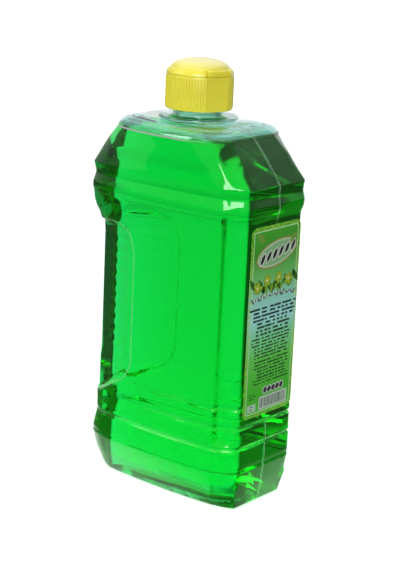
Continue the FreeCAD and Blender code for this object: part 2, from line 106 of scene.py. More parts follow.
def ranged(tree, value, low, high, first=0.0, last=1.0, smooth=False):
    """A node value carried from the range low to high into the range first to last."""
    return add_node(tree, "ShaderNodeMapRange", {
        "Value": value, "From Min": low, "From Max": high, "To Min": first, "To Max": last},
        interpolation_type="SMOOTHSTEP" if smooth else "LINEAR").outputs["Result"]


def object_place(tree):
    """The shaded point in the piece's own metres."""
    return add_node(tree, "ShaderNodeTexCoord").outputs["Object"]


def noise(tree, place, size, detail=2.0, **more):
    """Cloudy noise with patches about size metres across."""
    return add_node(tree, "ShaderNodeTexNoise", {
        "Vector": place, "Scale": 1 / size, "Detail": detail, **more}).outputs["Fac"]


def bump(tree, height, strength, distance, **more):
    """A normal tilted by a height that spans distance metres."""
    return add_node(tree, "ShaderNodeBump", {
        "Height": height, "Strength": strength, "Distance": distance, **more}).outputs["Normal"]


def blend(tree, share, first, second):
    """Two colours mixed by a share of the second."""
    return add_node(tree, "ShaderNodeMix", {
        "Factor": share, "A": first, "B": second}, data_type="RGBA").outputs["Result"]


def mixed(tree, share, first, second):
    """Two shaders mixed by a share of the second."""
    return out(tree, "ShaderNodeMixShader", {0: share, 1: first, 2: second})


def new_material(name, surface, *settings):
    """A node material whose surface shader is built by a function."""
    material = bpy.data.materials.new(name)
    material.use_nodes = True
    tree = material.node_tree
    tree.nodes.clear()
    output = tree.nodes.new("ShaderNodeOutputMaterial")
    tree.links.new(surface(tree, *settings), output.inputs["Surface"])
    return material


def placed(name, data):
    """A new object in the scene."""
    made = bpy.data.objects.new(name, data)
    bpy.context.scene.collection.objects.link(made)
    return made


def smoothed(mesh, sharp_degrees=None):
    """Shades a mesh smooth; edges steeper than sharp_degrees stay crisp."""
    mesh.polygons.foreach_set("use_smooth", [True] * len(mesh.polygons))
    if sharp_degrees:
        mesh.set_sharp_from_angle(angle=math.radians(sharp_degrees))


def mesh_object(name, points, faces, material, sharp_degrees=None):
    """A smooth mesh object at the origin."""
    mesh = bpy.data.meshes.new(name)
    mesh.from_pydata([tuple(p) for p in points], [], [tuple(f) for f in faces])
    mesh.update()
    smoothed(mesh, sharp_degrees)
    mesh.materials.append(material)
    return placed(name, mesh)


def ring_faces(rows, around, first=0):
    """Quads between stacked closed rings of points."""
    faces = []
    for row in range(rows - 1):
        low, high = first + row * around, first + (row + 1) * around
        for i in range(around):
            j = (i + 1) % around
            faces.append((low + i, low + j, high + j, high + i))
    return faces


def closed_rings(rings, start_pole=None, end_pole=None):
    """Points and faces of stacked rings, closed at either end by a fan to a pole."""
    around = len(rings[0])
    points = [p for ring in rings for p in ring]
    faces = ring_faces(len(rings), around)
    if start_pole is not None:
        points.append(start_pole)
        faces += [(len(points) - 1, (i + 1) % around, i) for i in range(around)]
    if end_pole is not None:
        points.append(end_pole)
        last = (len(rings) - 1) * around
        faces += [(len(points) - 1, last + i, last + (i + 1) % around) for i in range(around)]
    return points, faces


def turned_rings(profile, around):
    """Rings of a lathe profile given as (radius, height) pairs."""
    turns = [2 * math.pi * i / around for i in range(around)]
    return [[(r * math.cos(t), r * math.sin(t), z) for t in turns] for r, z in profile]


def rounded(profile, radius, steps=3):
    """A lathe profile with its inner corners turned into small arcs."""
    made = [profile[0]]
    for k in range(1, len(profile) - 1):
        before, here, after = (Vector(profile[k + d]) for d in (-1, 0, 1))
        back = min(radius, (before - here).length * ARC_SHARE)
        on = min(radius, (after - here).length * ARC_SHARE)
        start = here + (before - here).normalized() * back
        end = here + (after - here).normalized() * on
        for i in range(steps + 1):
            t = i / steps
            made.append(tuple(start * (1 - t) ** 2 + here * 2 * t * (1 - t) + end * t ** 2))
    return made + [profile[-1]]


def geometry_tree(name, **inputs):
    """An empty geometry tree, its inputs named by kind, and the sockets that give their values."""
    tree = bpy.data.node_groups.new(name, "GeometryNodeTree")
    for kind, labels in inputs.items():
        for label in labels.split():
            tree.interface.new_socket(name=label, in_out="INPUT", socket_type="NodeSocket" + kind)
    tree.interface.new_socket(name="Geometry", in_out="OUTPUT", socket_type="NodeSocketGeometry")
    return tree, tree.nodes.new("NodeGroupInput").outputs


def finish_tree(tree, instances, material):
    """Ends a geometry tree: real faces, smooth, with their material."""
    real = out(tree, "GeometryNodeRealizeInstances", {0: instances})
    smooth = out(tree, "GeometryNodeSetShadeSmooth", {0: real})
    made = out(tree, "GeometryNodeSetMaterial", {"Geometry": smooth, "Material": material})
    add_node(tree, "NodeGroupOutput", {0: made})


def compared(tree, operation, first, second):
    """Whether one value is greater or less than another."""
    return out(tree, "FunctionNodeCompare", {0: first, 1: second}, operation=operation)


def random_value(tree, low, high, seed):
    """A different value between low and high for each point."""
    return add_node(tree, "FunctionNodeRandomValue", {2: low, 3: high, "Seed": seed}).outputs[1]


def stood_up(tree, flat, place):
    """Flat shapes turned to face the front and moved to a place."""
    return out(tree, "GeometryNodeTransform", {
        0: flat, "Rotation": (math.pi / 2, 0, 0), "Translation": place})


def keep_modified(piece):
    """Gives a piece the plain mesh that its modifiers make, and removes them."""
    bpy.context.view_layer.update()
    seen = piece.evaluated_get(bpy.context.evaluated_depsgraph_get())
    mesh = bpy.data.meshes.new_from_object(seen)
    piece.modifiers.clear()
    piece.data = mesh


def grown(name, tree, **values):
    """A plain mesh object grown by a geometry tree with its inputs set."""
    holder = placed(name, bpy.data.meshes.new(name))
    modifier = holder.modifiers.new(name, "NODES")
    modifier.node_group = tree
    for item in tree.interface.items_tree:
        if item.in_out == "INPUT":
            modifier[item.identifier] = values[item.name]
    keep_modified(holder)
    return holder


def cut_away(piece, low, high, turn):
    """Cuts out a box, whose corners are given before it turns about the upright axis."""
    corners = [(x, y, z) for x in (low[0], high[0]) for y in (low[1], high[1])
               for z in (low[2], high[2])]
    faces = [(0, 1, 3, 2), (4, 6, 7, 5), (0, 4, 5, 1), (2, 3, 7, 6), (0, 2, 6, 4), (1, 5, 7, 3)]
    turned = Matrix.Rotation(turn, 3, "Z")
    box = mesh_object("cutting_box", [turned @ Vector(c) for c in corners], faces,
                      piece.data.materials[0])
    modifier = piece.modifiers.new("cut", "BOOLEAN")
    modifier.operation, modifier.solver, modifier.object = "DIFFERENCE", "EXACT", box
    keep_modified(piece)
    bpy.data.objects.remove(box)
    piece.data.set_sharp_from_angle(angle=math.radians(SHARP_DEGREES))


def surface_tree(mesh):
    """A mesh as a tree of faces that rays can be cast at."""
    return BVHTree.FromPolygons([v.co[:] for v in mesh.vertices],
                                [f.vertices[:] for f in mesh.polygons])


def settle(piece, body, nodes=()):
    """Fastens a finished piece to its body and hides the CAD nodes it stands for."""
    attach(piece, body)
    if nodes:
        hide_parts(*nodes)


def share_out(weights, count):
    """Places for count points along a line so that each step holds an equal share of the weight."""
    total = np.concatenate([[0], np.cumsum(weights)])
    wanted = np.linspace(0, total[-1], count)
    return np.interp(wanted, total, np.arange(len(total)))


# -------- materials

def mould_marks(tree):
    """Normal of a blown wall: faint waves of the stretched plastic and the mould's parting line."""
    place = object_place(tree)
    waves = noise(tree, place, WAVE_LENGTH, 1.0, Roughness=0.4)
    aside = maths(tree, "ABSOLUTE", parts_of(tree, place)["X"])
    seam = ranged(tree, aside, 0.0, SEAM_HALF, 1.0, 0.0, smooth=True)
    return bump(tree, seam, 0.6, SEAM_HEIGHT, Normal=bump(tree, waves, 0.3, WAVE_HEIGHT))


def transparent(tree, code):
    """A shader that lets light straight through with a tint."""
    return out(tree, "ShaderNodeBsdfTransparent", {"Color": linear(code)})


def lit_inside(tree, shader, code):
    """A refracting shader whose shadow is only a tint, so that the lamps light what it holds."""
    rays = add_node(tree, "ShaderNodeLightPath").outputs
    return mixed(tree, rays["Is Shadow Ray"], shader, transparent(tree, code))


def clear_pet(tree):
    """Blow-moulded PET with air behind it: glass-clear and glossy, bending light at both faces."""
    plastic = out(tree, "ShaderNodeBsdfPrincipled", {
        "Base Color": linear("C2EFEE"), "Roughness": 0.02, "IOR": 1.57, "Transmission Weight": 1.0,
        "Normal": mould_marks(tree)})
    return lit_inside(tree, plastic, "F4FBF7")


def wetted_pet(tree, ior, marked, tint="FAFEFC"):
    """Blow-moulded PET as a thin wall that only glosses. Where cologne lies against it, the bending
    of light is left to the cologne's own surface just behind it."""
    normal = {"Normal": mould_marks(tree)} if marked else {}
    edge_on = out(tree, "ShaderNodeFresnel", {"IOR": ior, **normal})
    gloss = out(tree, "ShaderNodeBsdfGlossy", {
        "Color": linear("FFFFFF"), "Roughness": 0.03, **normal})
    behind = add_node(tree, "ShaderNodeNewGeometry").outputs["Backfacing"]
    share = times(tree, edge_on, maths(tree, "SUBTRACT", 1.0, behind))
    wall = mixed(tree, share, transparent(tree, tint), gloss)
    return wall


def crease_highlight_paint(tree):
    """A pale cord half showing through the clear wall along a crease: its pale colour is a painted
    highlight for the bright line along the crease, and it lets light from behind through as a soft
    line."""
    # painted highlight: a pale diffuse and translucent cord mixed over clear, standing in for the
    # crease's bright line
    paint_share = ranged(tree, noise(tree, object_place(tree), 6 * MM), 0.35, 0.65, 0.14, 0.34)
    pale_paint = out(tree, "ShaderNodeBsdfDiffuse", {"Color": linear("B8F6C8")})
    through = out(tree, "ShaderNodeBsdfTranslucent", {"Color": linear("DCFFE8")})
    painted_line = mixed(tree, paint_share, transparent(tree, "FAFEFC"), mixed(tree, 0.6, pale_paint, through))
    return painted_line


def green_cologne(tree):
    """Dyed cologne, water and alcohol: clear, and deeper emerald the more of it light crosses."""
    liquid = out(tree, "ShaderNodeBsdfPrincipled", {
        "Base Color": linear("FFFFFF"), "Roughness": 0.0, "IOR": 1.36, "Transmission Weight": 1.0,
        "Specular Tint": linear("8C8C8C"), "Normal": mould_marks(tree)})
    dye = out(tree, "ShaderNodeVolumeAbsorption", {"Color": DYE_COLOUR, "Density": DYE_DENSITY})
    tree.links.new(dye, tree.get_output_node("ALL").inputs["Volume"])
    return lit_inside(tree, liquid, "FFFFFF")


def yellow_polypropylene(tree):
    """Injection-moulded polypropylene: waxy yellow with a soft satin gloss. Towards the lid's top
    its colour is painted paler, a painted highlight for light from above coming through the thin
    dome."""
    place = object_place(tree)
    cloud = noise(tree, place, 7 * MM, 3.0)
    worked = blend(tree, cloud, linear("E3D632"), linear("EAE146"))
    # painted highlight: the base colour is blended paler towards the lid's top, as if lit from
    # above
    painted_top_light = ranged(tree, parts_of(tree, place)["Z"], *CAP_TOP_LIGHT_SPAN, 0.0, 0.6, smooth=True)
    plastic = add_node(tree, "ShaderNodeBsdfPrincipled", {
        "Base Color": blend(tree, painted_top_light, worked, linear("EFEBBC")),
        "Roughness": ranged(tree, cloud, 0.0, 1.0, 0.3, 0.42),
        "IOR": 1.49, "Coat Weight": 0.4, "Coat Roughness": 0.3,
        "Subsurface Weight": 0.25,
        "Subsurface Radius": (1.0, 0.9, 0.25), "Subsurface Scale": 2.5 * MM,
        "Normal": bump(tree, noise(tree, place, 0.6 * MM), 0.25, 0.02 * MM)})
    return plastic.outputs[0]


def printed_film(tree):
    """Gloss-laminated polypropylene film: green inks fading to a misty middle, with a speckled
    border and a fine pale line, under a clear slippery skin; its back is left white."""
    place = object_place(tree)
    centred = vectors(tree, "SUBTRACT", place, LABEL_MIDDLE)
    beyond = vectors(tree, "SUBTRACT", vectors(tree, "ABSOLUTE", centred), LABEL_CORE)
    outer = vectors(tree, "MAXIMUM", beyond, (0, 0, 0))
    away = vectors(tree, "LENGTH", vectors(tree, "MULTIPLY", outer, (1, 0, 1)))
    part = parts_of(tree, beyond)
    nearest = maths(tree, "MAXIMUM", part["X"], part["Z"])
    edge = maths(tree, "ADD", away, maths(tree, "MINIMUM", nearest, 0.0))

    level = ranged(tree, parts_of(tree, centred)["Z"], -LABEL_TALL / 2, LABEL_TALL / 2)
    ramp = add_node(tree, "ShaderNodeValToRGB", {0: level})
    fade, stops = ramp.outputs["Color"], ramp.color_ramp.elements
    for spot, code in LABEL_FADE[1:-1]:
        stops.new(spot)
    for stop, (spot, code) in zip(stops, LABEL_FADE):
        stop.position, stop.color = spot, linear(code)
    mist = times(tree, noise(tree, place, 9 * MM), 0.12)
    specks = ranged(tree, noise(tree, place, 0.9 * MM, Roughness=0.7), 0.45, 0.6)
    in_border = maths(tree, "GREATER_THAN", edge, -BORDER_WIDE + LABEL_ROUND)
    in_line = maths(tree, "COMPARE", edge, LABEL_ROUND - BORDER_WIDE - LINE_WIDE / 2, LINE_WIDE / 2)
    facing = parts_of(tree, add_node(tree, "ShaderNodeNewGeometry").outputs["True Normal"])["Y"]
    printed = blend(tree, in_border, blend(tree, mist, fade, linear("A4E08A")),
                    blend(tree, specks, fade, linear("A9DC4A")))
    lined = blend(tree, in_line, printed, linear("C6F4BC"))
    sided = blend(tree, maths(tree, "GREATER_THAN", facing, 0.5), lined, linear("C9D2C8"))
    film = add_node(tree, "ShaderNodeBsdfPrincipled", {"Base Color": sided, **LAMINATE})
    return film.outputs[0]


def printing_ink(tree):
    """Screened ink under the film's skin: its colour comes with each mark, a little uneven."""
    colour = add_node(tree, "ShaderNodeAttribute", attribute_name="ink").outputs["Color"]
    uneven = ranged(tree, noise(tree, object_place(tree), 1.2 * MM), 0.0, 1.0, 0.8, 1.15)
    tone = out(tree, "ShaderNodeVectorMath", {0: colour, "Scale": uneven}, operation="SCALE")
    ink = add_node(tree, "ShaderNodeBsdfPrincipled", {"Base Color": tone, **LAMINATE})
    return ink.outputs[0]


def seal_foam(tree):
    """Closed-cell polyethylene foam, die cut: matt white with fine cells."""
    cells = add_node(tree, "ShaderNodeTexVoronoi", {
        "Vector": object_place(tree), "Scale": 1 / (0.5 * MM)}).outputs["Distance"]
    foam = add_node(tree, "ShaderNodeBsdfPrincipled", {
        "Base Color": linear("F2F2EC"), "Roughness": 0.8, "IOR": 1.5,
        "Normal": bump(tree, cells, 0.4, 0.05 * MM)})
    return foam.outputs[0]


LAMINATE = {"Roughness": 0.35, "IOR": 1.49, "Coat Weight": 0.3, "Coat Roughness": 0.1}
SEAM_HALF, SEAM_HEIGHT = 0.35 * MM, 0.25 * MM
WAVE_LENGTH, WAVE_HEIGHT = 14 * MM, 0.25 * MM
DYE_COLOUR, DYE_DENSITY = (0.0, 0.94, 0.58, 1.0), 110.0

lid_low, lid_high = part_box("flip_lid")
# heights over which the lid's colour is painted paler, a painted highlight from above
CAP_TOP_LIGHT_SPAN = (lid_low[2] + 2.5 * MM, lid_high[2])

label_low, label_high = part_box("front_label")
label_half, label_bottom, label_top = label_high[0], label_low[2], label_high[2]
LABEL_TALL = label_top - label_bottom
LABEL_ROUND = 3.6 * MM
LABEL_MIDDLE = (0, label_low[1], (label_bottom + label_top) / 2)
LABEL_CORE = (label_half - LABEL_ROUND, 1.0, LABEL_TALL / 2 - LABEL_ROUND)
BORDER_WIDE, LINE_WIDE = 1.9 * MM, 0.5 * MM
LABEL_FADE = [(0.0, "50D03A"), (0.12, "3CC61E"), (0.3, "62D850"), (0.42, "84E4A6"),
              (0.52, "AEF0F4"), (0.62, "98E2CE"), (0.74, "6CC868"), (0.86, "2A9A08"),
              (1.0, "3AB024")]

PET = new_material("clear_pet_blown", clear_pet)
COLOGNE = new_material("green_cologne", green_cologne)
CAP_PLASTIC = new_material("yellow_polypropylene", yellow_polypropylene)
WET_PET = new_material("clear_pet_wetted", wetted_pet, 1.32, True)
WET_LINING = new_material("clear_pet_lining", wetted_pet, 1.15, False)
# the pale cords along the grip's creases: a painted highlight line
CREASE_HIGHLIGHT_PAINT = new_material("painted_crease_highlight", crease_highlight_paint)
NECK_PET = new_material("clear_pet_neck", wetted_pet, 1.57, False, "D6EEE2")
FILM = new_material("printed_polypropylene_film", printed_film)
INK = new_material("screened_printing_ink", printing_ink)
FOAM = new_material("polyethylene_foam", seal_foam)

# -------- bottle

AROUND = 256
OUTSIDE_ROWS = 208
WALL = 0.5 * MM
FILL_GAP = 0.1 * MM
REACH = 0.2
SPINE = 22 * MM

_, bottle_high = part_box("bottle")
_, fill_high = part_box("cologne")
NECK_TOP = bottle_high[2]
FILL_LEVEL = fill_high[2]
CROWN_TOP = NECK_TOP - 18.6 * MM
SHOULDER_FOOT = NECK_TOP - 43.3 * MM
PLAIN_LEVEL = 57 * MM
GROOVES = [level * MM for level in (21.0, 32.2, 42.8, 47.75, 52.7, 154.56)]
GROOVE_HALF, GROOVE_REACH = 1.1 * MM, 1.4 * MM
FAR = 1000
# Where the wall is evened: passes, lowest and highest z, foremost and hindmost y (mm), plan only
SOFTENING = (
    (1, 162, FAR, -FAR, FAR, False),  # shoulder
    (2, 58, 136, -FAR, FAR, False),  # height of the hand grip
    (16, 57, 66.5, 6, 41, False),  # lower edge of the grip's windows
    (16, 127.5, 137, 6, 41, False),  # upper edge of the windows
    (5, 44, 57, 12, 41, False),  # run-out under the windows
    (8, 60, 134, 34, FAR, False),  # ribbed end of the grip
    (3, 36, 142, -40, -24, False),  # notch line beside the corner strip
    (4, 56, 150, -FAR, -43, False),  # corners beside the label
    (16, 12, 172, -FAR, -42, True),  # the same corners, in plan
)

blown_wall = surface_tree(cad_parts["bottle"].data)


def touch(start, way):
    """Where a feeler moved along way from start first meets the bottle."""
    return blown_wall.ray_cast(Vector(start), Vector(way))[0]


def outline_at(level, ways, spine):
    """The bottle's outside at one level, felt from all round towards its spine."""
    points = []
    for way, y in zip(ways, spine):
        hit = touch((way[0] * REACH, y + way[1] * REACH, level), (-way[0], -way[1], 0))
        points.append((hit[0], hit[1], level))
    return points


def feelers():
    """Places on the plain outline, closer together at its corners, and the spine they face."""
    fine = 2880  # first feelers, an eighth of a degree apart
    turns = [-math.pi / 2 + 2 * math.pi * i / fine for i in range(fine)]
    ways = [(math.cos(t), math.sin(t)) for t in turns]
    outline = np.array(outline_at(PLAIN_LEVEL, ways, [0.0] * fine))[:, :2]
    along = np.roll(outline, -1, axis=0) - outline
    length = np.hypot(along[:, 0], along[:, 1])
    heading = np.unwrap(np.arctan2(along[:, 1], along[:, 0]))
    bend = np.abs(np.roll(heading, -6) - np.roll(heading, 6))
    bend[:6], bend[-6:] = 0, 0
    weights = length * (1 + 1.6 * np.minimum(bend, 0.6) / 0.6)
    picks = share_out(weights, AROUND + 1)[:-1]
    closed = np.vstack([outline, outline[:1]])
    chosen = np.array([np.interp(picks, np.arange(fine + 1), closed[:, k]) for k in (0, 1)]).T
    spine = np.clip(chosen[:, 1], -SPINE, SPINE * 0.9)
    return chosen, spine


chosen_outline, full_spine = feelers()


def ways_at(level):
    """Feeler directions at a level: from the whole spine low down, from the neck's axis on top."""
    share = np.clip((CROWN_TOP - level) / (CROWN_TOP - SHOULDER_FOOT), 0, 1)
    share = share * share * (3 - 2 * share)
    spine = full_spine * share
    ways = chosen_outline - np.stack([np.zeros(AROUND), spine], axis=1)
    return ways / np.linalg.norm(ways, axis=1)[:, None], spine


def outside_levels():
    """Heights for the rings of points, closer together where grooves, ribs and edges turn."""
    step = 0.1 * MM
    heights = np.arange(0.06 * MM, CROWN_TOP - 0.02 * MM, step)
    felt = []
    for level in heights:
        ways, spine = ways_at(level)
        points = np.array(outline_at(level, ways[::6], spine[::6]))
        felt.append(np.hypot(points[:, 0], points[:, 1]))
    felt = np.array(felt)
    turn = np.abs(felt[2:] - 2 * felt[1:-1] + felt[:-2]).max(axis=1) / step
    slope = np.abs(felt[2:] - felt[:-2]).max(axis=1) / (2 * step)
    turn = np.convolve(np.minimum(turn, 0.5), np.ones(9) / 9, mode="same")
    weights = np.concatenate([[1], 1 + 14 * turn + 0.5 * np.minimum(slope, 6), [1]])
    shared = np.interp(share_out(weights, OUTSIDE_ROWS), np.arange(len(heights)), heights)
    exact = np.array([level + side for level in GROOVES for side in (-GROOVE_HALF, 0, GROOVE_HALF)])
    clear = np.abs(shared[:, None] - exact).min(axis=1) > 0.2 * MM
    return np.sort(np.concatenate([shared[clear], exact]))


def softened(grid, passes, low, high, front, back, level_only):
    """Evens the points between two heights and two depths, as blown plastic rounds the mould's
    edges; level_only rounds the plan and leaves the upright profile as it is."""
    height, depth = grid[:, :, 2:].mean(axis=1, keepdims=True), grid[:, :, 1:2]
    chosen = (height > low) & (height < high) & (depth > front) & (depth < back)
    for _ in range(passes):
        evened = (np.roll(grid, 1, axis=1) + 2 * grid + np.roll(grid, -1, axis=1)) / 4
        inner = (evened[:-2] + 2 * evened[1:-1] + evened[2:]) / 4
        if not level_only:
            evened = np.concatenate([evened[:1], inner, evened[-1:]])
        grid = np.where(chosen, evened, grid)
    return grid


levels = outside_levels()
wall_rows = np.array([outline_at(level, *ways_at(level)) for level in levels])

UNDER_ROWS = 22
foot_line = wall_rows[0]
foot_middle = np.array([0.0, (foot_line[:, 1].min() + foot_line[:, 1].max()) / 2, 0.0])
under_rows = []
for k in range(1, UNDER_ROWS):
    share = 1 - k / UNDER_ROWS
    row = []
    for point in foot_line:
        x, y = foot_middle[:2] + (point[:2] - foot_middle[:2]) * share
        row.append((x, y, touch((x, y, -REACH), (0, 0, 1))[2]))
    under_rows.append(row)
under_pole = (*foot_middle[:2], touch((*foot_middle[:2], -REACH), (0, 0, 1))[2])

shell = np.concatenate([np.array(under_rows)[::-1], wall_rows])
for passes, *limits, level_only in SOFTENING:
    shell = softened(shell, passes, *[limit * MM for limit in limits], level_only)


def grid_normals(grid, pole):
    """Outward normals of a grid of rings that starts at a pole."""
    below = np.concatenate([np.broadcast_to(np.array(pole), (1, *grid.shape[1:])), grid[:-1]])
    above = np.concatenate([grid[1:], grid[-1:]])
    round_way = np.roll(grid, -1, axis=1) - np.roll(grid, 1, axis=1)
    normals = np.cross(round_way, above - below)
    return normals / np.linalg.norm(normals, axis=2)[:, :, None]


normals = grid_normals(shell, under_pole)
lining = shell - normals * WALL
directions = ways_at(CROWN_TOP)[0]

NECK_RADIUS, BORE_RADIUS, RING_RADIUS, ROOT_RADIUS = 12.55 * MM, 10.9 * MM, 19.4 * MM, 15.6 * MM
RING_UNDER, RING_TOP = NECK_TOP - 17.8 * MM, NECK_TOP - 16.1 * MM
neck_profile = rounded([
    (ROOT_RADIUS, CROWN_TOP), (ROOT_RADIUS, RING_UNDER), (RING_RADIUS, RING_UNDER),
    (RING_RADIUS, RING_TOP), (NECK_RADIUS, RING_TOP), (NECK_RADIUS, NECK_TOP),
    (BORE_RADIUS, NECK_TOP), (BORE_RADIUS, CROWN_TOP + 0.5 * MM),
], 0.7 * MM)
neck_rows = [[(r * w[0], r * w[1], z) for w in directions] for r, z in neck_profile]

in_groove = [min(abs(row[:, 2].mean() - level) for level in GROOVES) < GROOVE_REACH
             for row in shell]
thinned = [i for i in range(len(lining)) if i % 2 == 0 or in_groove[i]]
bottle_rings = [[tuple(p) for p in row] for row in shell] + neck_rows
bottle_rings += [[tuple(p) for p in lining[i]] for i in reversed(thinned)]
bottle_points, bottle_faces = closed_rings(
    bottle_rings, under_pole, (*under_pole[:2], under_pole[2] + WALL))
bottle = mesh_object("blown_bottle", bottle_points, bottle_faces, PET)
for material in (WET_PET, WET_LINING, NECK_PET):
    bottle.data.materials.append(material)
outside_count = len(shell) * AROUND
for face in bottle.data.polygons:
    if max(bottle.data.vertices[i].co.z for i in face.vertices) < FILL_LEVEL:
        face.material_index = 1 if min(face.vertices) < outside_count else 2
    elif all(math.hypot(*bottle.data.vertices[i].co[:2]) < NECK_RADIUS + 0.8 * MM and
             bottle.data.vertices[i].co.z > CROWN_TOP - 0.3 * MM for i in face.vertices):
        face.material_index = 3
settle(bottle, "bottle", ["bottle"])

# -------- painted highlight lines along the creases round the hand grip

CREASE_HALF, CREASE_THIN, CREASE_DEPTH = 0.5 * MM, 0.14 * MM, 0.3 * MM
CREASE_BENDS = ((38, 132.2), (27, 132.2), (17, 128.5), (14, 119), (14, 62.2), (18.3, 54.7),
                (31, 47.2), (39, 42.0))  # y and z in mm
crease_line = rounded([(y * MM, z * MM) for y, z in CREASE_BENDS], 3 * MM, 6)
shown_wall = surface_tree(bottle.data)


def crease(side):
    """A flat pale cord inside the wall along the hand grip's outline on one wide face, a painted
    highlight line.
    """
    spots = []
    for (y0, z0), (y1, z1) in zip(crease_line, crease_line[1:]):
        parts = max(1, round(math.hypot(y1 - y0, z1 - z0) / (2 * MM)))
        spots += [(y0 + (y1 - y0) * k / parts, z0 + (z1 - z0) * k / parts) for k in range(parts)]
    rings = []
    for k, (y, z) in enumerate(spots):
        ahead, before = spots[min(k + 1, len(spots) - 1)], spots[max(k - 1, 0)]
        run = Vector((0, ahead[0] - before[0], ahead[1] - before[1])).normalized()
        hit, normal = shown_wall.ray_cast(Vector((side * REACH, y, z)), Vector((-side, 0, 0)))[:2]
        broad = run.cross(normal).normalized()
        middle = hit - normal * CREASE_DEPTH
        turns = [-2 * math.pi * i / 8 for i in range(8)]
        rings.append([tuple(middle + broad * (CREASE_HALF * math.cos(t))
                            + normal * (CREASE_THIN * math.sin(t))) for t in turns])
    ends = [tuple(sum((Vector(p) for p in ring), Vector()) / 8) for ring in (rings[0], rings[-1])]
    points, faces = closed_rings(rings, *ends)
    name = "grip_crease_highlight_" + ("left" if side < 0 else "right")
    return mesh_object(name, points, faces, CREASE_HIGHLIGHT_PAINT)


for side in (-1, 1):
    settle(crease(side), "bottle")

# -------- cologne

wet = shell - normals * (WALL + FILL_GAP)
under_fill = [row for row in wet if row[:, 2].max() < FILL_LEVEL - 0.2 * MM]
fill_edge = np.array([
    [np.interp(FILL_LEVEL, wet[:, i, 2], wet[:, i, k]) for k in (0, 1)] + [FILL_LEVEL]
    for i in range(AROUND)])
cologne_rings = list(under_fill) + [fill_edge * [s, s, 1] for s in (1, 0.96, 0.7, 0.4, 0.15)]
cologne_points, cologne_faces = closed_rings(
    cologne_rings, (*under_pole[:2], under_pole[2] + WALL + FILL_GAP), (0, 0, FILL_LEVEL))
cologne = mesh_object("cologne_fill", cologne_points, cologne_faces, COLOGNE, 50)
settle(cologne, "bottle", ["cologne"])

# -------- neck thread

THREAD_CREST, THREAD_PITCH, THREAD_TURNS = 13.75 * MM, 4.23 * MM, 1.6
THREAD_START, THREAD_DROP, THREAD_STEPS = math.radians(40), 10.2 * MM, 150
RUN_OUT = 12  # the thread rises from the neck over a twelfth of its length at either end
root, half_root, half_crest = NECK_RADIUS - 0.2 * MM, 1.1 * MM, 0.45 * MM
thread_rings = []
for i in range(THREAD_STEPS + 1):
    t = i / THREAD_STEPS
    turn = 2 * math.pi * THREAD_TURNS * t + THREAD_START
    swell = min(1, RUN_OUT * t, RUN_OUT * (1 - t))
    middle = NECK_TOP - THREAD_DROP + THREAD_PITCH * THREAD_TURNS * t
    crest = NECK_RADIUS + (THREAD_CREST - NECK_RADIUS) * swell
    thread_rings.append([
        (r * math.cos(turn), r * math.sin(turn), middle + dz)
        for r, dz in [(root, half_root), (crest, half_crest), (crest + 0.05 * MM, 0),
                      (crest, -half_crest), (root, -half_root)]])
thread_points, thread_faces = closed_rings(thread_rings)
around_thread = len(thread_rings[0])
thread_faces += [tuple(reversed(range(around_thread))), tuple(range(
    len(thread_points) - around_thread, len(thread_points)))]
thread = mesh_object("neck_thread", thread_points, thread_faces, PET, 40)
settle(thread, "bottle")

# -------- cap

CAP_AROUND = 288
cap_low, cap_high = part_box("cap_base")
HINGE_TURN = math.radians(-16.6)
hinge_way = Vector((math.sin(HINGE_TURN), -math.cos(HINGE_TURN), 0))
CAP_RADIUS, CAP_BORE, HINGE_REACH = 16.3 * MM, 14.0 * MM, 15.0 * MM
PARTING = NECK_TOP + 3.6 * MM
DECK_TOP, DECK_UNDER = NECK_TOP + 2.6 * MM, NECK_TOP + 1.2 * MM
SKIRT_FOOT = cap_low[2]
SPOUT_TOP, SPOUT_RADIUS, ORIFICE = cap_high[2], 4.2 * MM, 2.2 * MM


def pressed_flat(rings, limit, low, high):
    """Flattens turned rings on the hinge side between two heights."""
    made = []
    for ring in rings:
        row = []
        for p in ring:
            point = Vector(p)
            over = point.dot(hinge_way) - limit
            if low <= point[2] <= high and over > 0:
                point -= hinge_way * over
            row.append(tuple(point))
        made.append(row)
    return made


def turned_piece(name, profile, material, limit=None, heights=(-1, 1)):
    """A closed lathe piece, its hinge side pressed flat where limit is given."""
    rings = turned_rings(profile, CAP_AROUND)
    if limit:
        rings = pressed_flat(rings, limit, *heights)
    points, faces = closed_rings(rings + [rings[0]])
    made = mesh_object(name, points, faces, material)
    mesh = made.data
    shaped = bmesh.new()
    shaped.from_mesh(mesh)
    bmesh.ops.remove_doubles(shaped, verts=shaped.verts, dist=1e-6)
    bmesh.ops.dissolve_degenerate(shaped, edges=shaped.edges, dist=1e-6)
    bmesh.ops.recalc_face_normals(shaped, faces=shaped.faces)
    shaped.to_mesh(mesh)
    shaped.free()
    smoothed(mesh, SHARP_DEGREES)
    return made


base_profile = rounded([
    (CAP_BORE, SKIRT_FOOT), (CAP_RADIUS, SKIRT_FOOT), (CAP_RADIUS, PARTING),
    (CAP_RADIUS - 1.6 * MM, PARTING), (CAP_RADIUS - 1.6 * MM, DECK_TOP),
    (SPOUT_RADIUS, DECK_TOP), (SPOUT_RADIUS, SPOUT_TOP), (ORIFICE, SPOUT_TOP),
    (ORIFICE, DECK_UNDER), (CAP_BORE, DECK_UNDER), (CAP_BORE, SKIRT_FOOT + 0.5 * MM),
], 0.45 * MM)
cap_base = turned_piece("cap_skirt", base_profile, CAP_PLASTIC, HINGE_REACH, (0, 1))
THUMB_HALF, THUMB_DEEP, THUMB_DROP = 4.5 * MM, 1.1 * MM, 1.6 * MM
cut_away(cap_base, (-THUMB_HALF, CAP_RADIUS - THUMB_DEEP, PARTING - THUMB_DROP),
         (THUMB_HALF, 2 * CAP_RADIUS, 2 * PARTING), HINGE_TURN)
settle(cap_base, "cap", ["cap_base"])


